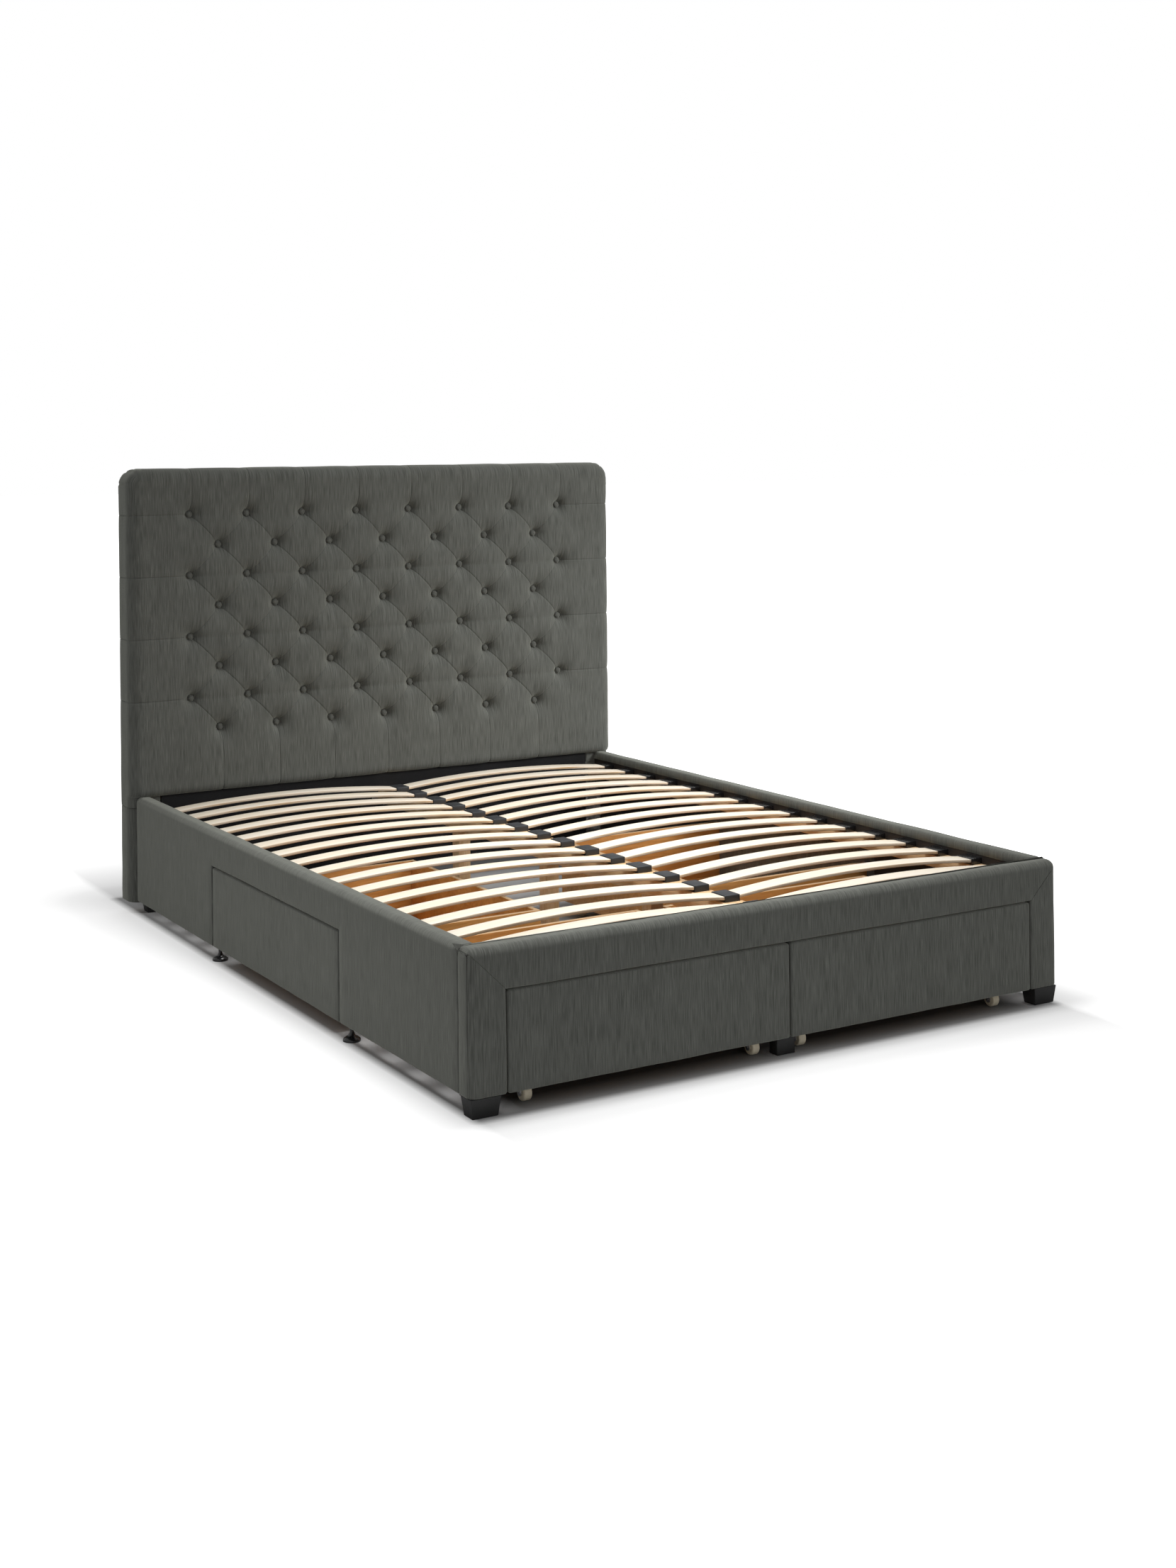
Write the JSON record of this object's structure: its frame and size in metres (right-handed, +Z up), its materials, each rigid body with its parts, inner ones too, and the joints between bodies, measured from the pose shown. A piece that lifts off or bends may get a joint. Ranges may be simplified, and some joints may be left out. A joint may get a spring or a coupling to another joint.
{
  "type": "platform bed with storage drawers",
  "caption": "Upholstered platform bed with a deep-buttoned headboard, bowed slats in two rows and storage drawers that roll out at the foot and sides.",
  "frame": {"origin": "on the floor, under the middle of the bed's width and length", "axes": "+Z up; +Y along the bed towards the headboard; +X to the right of someone who stands at the foot and looks at the headboard"},
  "size_m": [1.656, 2.224, 1.319],
  "materials": {
    "upholstery_cloth": "charcoal grey woven upholstery cloth with short vertical slubs, matt, over foam",
    "black_cloth": "thin black non-woven lining cloth",
    "ply_and_pine": "plain sawn boards under the upholstery",
    "pine": "planed pine, bare",
    "birch_slat": "bent layered birch, clear lacquer, brown layers at the edges",
    "drawer_ply": "orange-brown veneered boards with paler cut edges",
    "black_wood": "satin black stained block",
    "black_plastic": "glossy black moulded plastic",
    "grey_plastic": "dark grey moulded plastic",
    "cream_plastic": "cream moulded wheel",
    "zinc_steel": "zinc-plated sheet steel"
  },
  "bodies": {
    "frame": {"headboard_panel": "ply_and_pine", "headboard_padding": "upholstery_cloth", "headboard_buttons": "upholstery_cloth", "headboard_back_cloth": "black_cloth", "headboard_lining": "black_cloth", "left_rail_board": "ply_and_pine", "right_rail_board": "ply_and_pine", "left_rail_cover": "upholstery_cloth", "right_rail_cover": "upholstery_cloth", "footboard_frame": "ply_and_pine", "footboard_cover": "upholstery_cloth", "slat_ledgers": "pine", "centre_beam": "pine", "centre_legs": "pine", "beam_brackets": "zinc_steel", "slat_side_holders": "black_plastic", "slat_middle_caps": "grey_plastic", "wooden_feet": "black_wood", "levelling_feet": "black_plastic", "corner_fixings": "zinc_steel", "slat_row_1": "birch_slat", "slat_row_2": "birch_slat", "slat_row_3": "birch_slat", "slat_row_4": "birch_slat", "slat_row_5": "birch_slat", "slat_row_6": "birch_slat", "slat_row_7": "birch_slat", "slat_row_8": "birch_slat", "slat_row_9": "birch_slat", "slat_row_10": "birch_slat", "slat_row_11": "birch_slat", "slat_row_12": "birch_slat", "slat_row_13": "birch_slat", "slat_row_14": "birch_slat", "slat_row_15": "birch_slat", "slat_row_16": "birch_slat"},
    "foot_left_drawer": {"foot_left_drawer_front": "upholstery_cloth", "foot_left_drawer_box": "drawer_ply", "foot_left_drawer_base": "drawer_ply", "foot_left_drawer_castor_forks": "zinc_steel"},
    "foot_left_drawer_front_wheels": {"foot_left_drawer_front_wheels": "cream_plastic"},
    "foot_left_drawer_rear_wheels": {"foot_left_drawer_rear_wheels": "cream_plastic"},
    "foot_right_drawer": {"foot_right_drawer_front": "upholstery_cloth", "foot_right_drawer_box": "drawer_ply", "foot_right_drawer_base": "drawer_ply", "foot_right_drawer_castor_forks": "zinc_steel"},
    "foot_right_drawer_front_wheels": {"foot_right_drawer_front_wheels": "cream_plastic"},
    "foot_right_drawer_rear_wheels": {"foot_right_drawer_rear_wheels": "cream_plastic"},
    "side_left_drawer": {"side_left_drawer_front": "upholstery_cloth", "side_left_drawer_box": "drawer_ply", "side_left_drawer_base": "drawer_ply", "side_left_drawer_castor_forks": "zinc_steel"},
    "side_left_drawer_front_wheels": {"side_left_drawer_front_wheels": "cream_plastic"},
    "side_left_drawer_rear_wheels": {"side_left_drawer_rear_wheels": "cream_plastic"},
    "side_right_drawer": {"side_right_drawer_front": "upholstery_cloth", "side_right_drawer_box": "drawer_ply", "side_right_drawer_base": "drawer_ply", "side_right_drawer_castor_forks": "zinc_steel"},
    "side_right_drawer_front_wheels": {"side_right_drawer_front_wheels": "cream_plastic"},
    "side_right_drawer_rear_wheels": {"side_right_drawer_rear_wheels": "cream_plastic"}
  },
  "joints": [
    {"name": "foot_left_drawer_slide", "type": "slide", "parent": "frame", "child": "foot_left_drawer", "axis": [0, -1, 0], "range_m": [0, 0.5]},
    {"name": "foot_left_drawer_front_wheels_roll", "type": "hinge", "parent": "foot_left_drawer", "child": "foot_left_drawer_front_wheels", "pos_m": [-0.361, -1.051, 0.018], "axis": [1, 0, 0], "range_deg": [0, 1600]},
    {"name": "foot_left_drawer_rear_wheels_roll", "type": "hinge", "parent": "foot_left_drawer", "child": "foot_left_drawer_rear_wheels", "pos_m": [-0.361, -0.574, 0.018], "axis": [1, 0, 0], "range_deg": [0, 1600]},
    {"name": "foot_right_drawer_slide", "type": "slide", "parent": "frame", "child": "foot_right_drawer", "axis": [0, -1, 0], "range_m": [0, 0.5]},
    {"name": "foot_right_drawer_front_wheels_roll", "type": "hinge", "parent": "foot_right_drawer", "child": "foot_right_drawer_front_wheels", "pos_m": [0.361, -1.051, 0.018], "axis": [1, 0, 0], "range_deg": [0, 1600]},
    {"name": "foot_right_drawer_rear_wheels_roll", "type": "hinge", "parent": "foot_right_drawer", "child": "foot_right_drawer_rear_wheels", "pos_m": [0.361, -0.574, 0.018], "axis": [1, 0, 0], "range_deg": [0, 1600]},
    {"name": "side_left_drawer_slide", "type": "slide", "parent": "frame", "child": "side_left_drawer", "axis": [-1, 0, 0], "range_m": [0, 0.48]},
    {"name": "side_left_drawer_front_wheels_roll", "type": "hinge", "parent": "side_left_drawer", "child": "side_left_drawer_front_wheels", "pos_m": [-0.715, -0.0335, 0.018], "axis": [0, -1, 0], "range_deg": [0, 1600]},
    {"name": "side_left_drawer_rear_wheels_roll", "type": "hinge", "parent": "side_left_drawer", "child": "side_left_drawer_rear_wheels", "pos_m": [-0.29, -0.0335, 0.018], "axis": [0, -1, 0], "range_deg": [0, 1600]},
    {"name": "side_right_drawer_slide", "type": "slide", "parent": "frame", "child": "side_right_drawer", "axis": [1, 0, 0], "range_m": [0, 0.48]},
    {"name": "side_right_drawer_front_wheels_roll", "type": "hinge", "parent": "side_right_drawer", "child": "side_right_drawer_front_wheels", "pos_m": [0.715, -0.0335, 0.018], "axis": [0, 1, 0], "range_deg": [0, 1600]},
    {"name": "side_right_drawer_rear_wheels_roll", "type": "hinge", "parent": "side_right_drawer", "child": "side_right_drawer_rear_wheels", "pos_m": [0.29, -0.0335, 0.018], "axis": [0, 1, 0], "range_deg": [0, 1600]}
  ],
  "couplings": [
    {"joint": "foot_left_drawer_front_wheels_roll", "follows": "foot_left_drawer_slide", "rad_per_m": 55.556},
    {"joint": "foot_left_drawer_rear_wheels_roll", "follows": "foot_left_drawer_slide", "rad_per_m": 55.556},
    {"joint": "foot_right_drawer_front_wheels_roll", "follows": "foot_right_drawer_slide", "rad_per_m": 55.556},
    {"joint": "foot_right_drawer_rear_wheels_roll", "follows": "foot_right_drawer_slide", "rad_per_m": 55.556},
    {"joint": "side_left_drawer_front_wheels_roll", "follows": "side_left_drawer_slide", "rad_per_m": 55.556},
    {"joint": "side_left_drawer_rear_wheels_roll", "follows": "side_left_drawer_slide", "rad_per_m": 55.556},
    {"joint": "side_right_drawer_front_wheels_roll", "follows": "side_right_drawer_slide", "rad_per_m": 55.556},
    {"joint": "side_right_drawer_rear_wheels_roll", "follows": "side_right_drawer_slide", "rad_per_m": 55.556}
  ]
}
